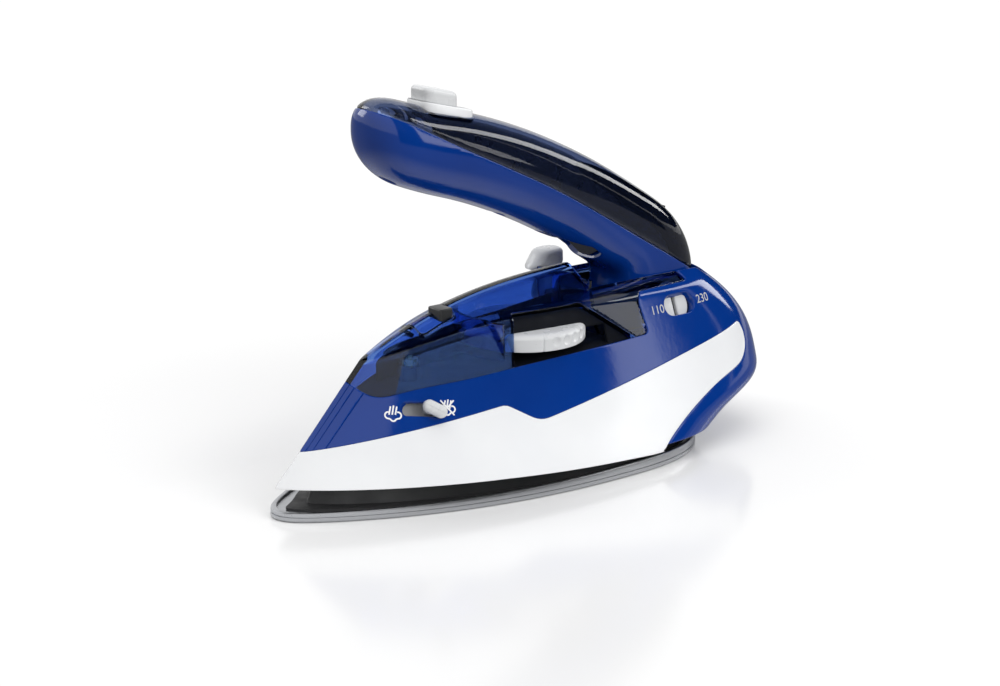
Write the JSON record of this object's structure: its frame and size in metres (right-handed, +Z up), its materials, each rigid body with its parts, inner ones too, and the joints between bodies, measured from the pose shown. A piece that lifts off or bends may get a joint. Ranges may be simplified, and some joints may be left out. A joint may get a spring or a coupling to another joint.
{
  "type": "travel steam iron",
  "caption": "Small steam iron with a boat-shaped soleplate, see-through water tank, side temperature dial and a folding handle with a burst button",
  "frame": {"origin": "on the flat sole face, on the mid plane, 88 mm behind the sole's nose", "axes": "+X towards the heel, -X towards the nose, +Z up from the sole face, +Y towards the side without the dial"},
  "size_m": [0.2026, 0.0822, 0.1351],
  "materials": {
    "sole_metal": "fine brushed, smooth face",
    "dark_mat": "matt dark grey",
    "steel": "plain",
    "brass": "turned",
    "rubber": "matt black",
    "ceramic": "matt off-white",
    "black_plastic": "satin black",
    "white_gloss": "glossy white",
    "blue_gloss": "glossy deep blue",
    "smoke_clear": "clear smoky blue plastic",
    "lamp_amber": "amber lens"
  },
  "bodies": {
    "base": {"soleplate": "sole_metal", "insulation_mat": "dark_mat", "heating_element": "steel", "heater_posts": "steel", "chamber_seal": "rubber", "steam_chamber_cover": "sole_metal", "chamber_cover_screws": "steel", "thermostat": "ceramic", "heat_shield": "black_plastic", "shield_screw": "steel", "chassis": "black_plastic", "skirt": "white_gloss", "upper_housing": "blue_gloss", "rear_cover": "blue_gloss", "water_tank": "smoke_clear", "lid_pin": "steel", "drip_valve": "brass", "voltage_switch": "black_plastic", "switch_post": "black_plastic", "hinge_yoke": "black_plastic", "yoke_screws": "steel", "hinge_pin": "steel", "terminal_block": "ceramic", "thermal_fuse": "steel", "pilot_lamp": "lamp_amber", "body_leads": "rubber", "release_spring": "steel"},
    "dial": {"temperature_dial": "white_gloss", "dial_shaft": "white_gloss"},
    "slider": {"steam_slider": "white_gloss", "slider_plate": "black_plastic"},
    "needle": {"valve_needle": "steel"},
    "lid": {"filler_lid": "smoke_clear"},
    "selector": {"voltage_selector": "white_gloss"},
    "release": {"release_button": "white_gloss", "lock_tongue": "black_plastic"},
    "handle": {"handle_lower_shell": "blue_gloss", "handle_top_cover": "smoke_clear", "handle_frame": "black_plastic", "handle_screws": "steel", "button_bezel": "white_gloss", "pump_body": "black_plastic", "pump_spring": "steel", "handle_tube": "rubber", "cord_gland": "rubber", "cord_clamp": "black_plastic", "clamp_screws": "steel", "hinge_bushes": "brass"},
    "burst": {"burst_button": "white_gloss", "pump_piston": "white_gloss"}
  },
  "joints": [
    {"name": "dial_turn", "type": "hinge", "parent": "base", "child": "dial", "pos_m": [0.012, -0.0045, 0.0446], "axis": [0, 0, 1], "range_deg": [0, 270]},
    {"name": "steam_slide", "type": "slide", "parent": "base", "child": "slider", "axis": [-0.8948, 0.4371, 0.0908], "range_m": [0, 0.0065]},
    {"name": "needle_lift", "type": "slide", "parent": "base", "child": "needle", "axis": [0, 0, 1], "range_m": [0, 0.0016]},
    {"name": "lid_swing", "type": "hinge", "parent": "base", "child": "lid", "pos_m": [-0.0346, 0, 0.0524], "axis": [0, -1, 0], "range_deg": [0, 90]},
    {"name": "selector_turn", "type": "hinge", "parent": "base", "child": "selector", "pos_m": [0.0673, -0.0228, 0.0506], "axis": [0, -0.9317, 0.3633], "range_deg": [0, 90]},
    {"name": "release_press", "type": "slide", "parent": "base", "child": "release", "axis": [0, 0, -1], "range_m": [0, 0.003], "stiffness_N_per_m": 800, "springref_m": -0.001, "deforming": ["release_spring"]},
    {"name": "handle_fold", "type": "hinge", "parent": "base", "child": "handle", "pos_m": [0.064, 0, 0.05], "axis": [0, -1, 0], "range_deg": [0, 17]},
    {"name": "burst_press", "type": "slide", "parent": "handle", "child": "burst", "axis": [0, 0, -1], "range_m": [0, 0.0025], "stiffness_N_per_m": 1200, "springref_m": -0.001, "deforming": ["pump_spring"]}
  ],
  "couplings": [
    {"joint": "needle_lift", "follows": "steam_slide", "ratio": 0.24615}
  ]
}
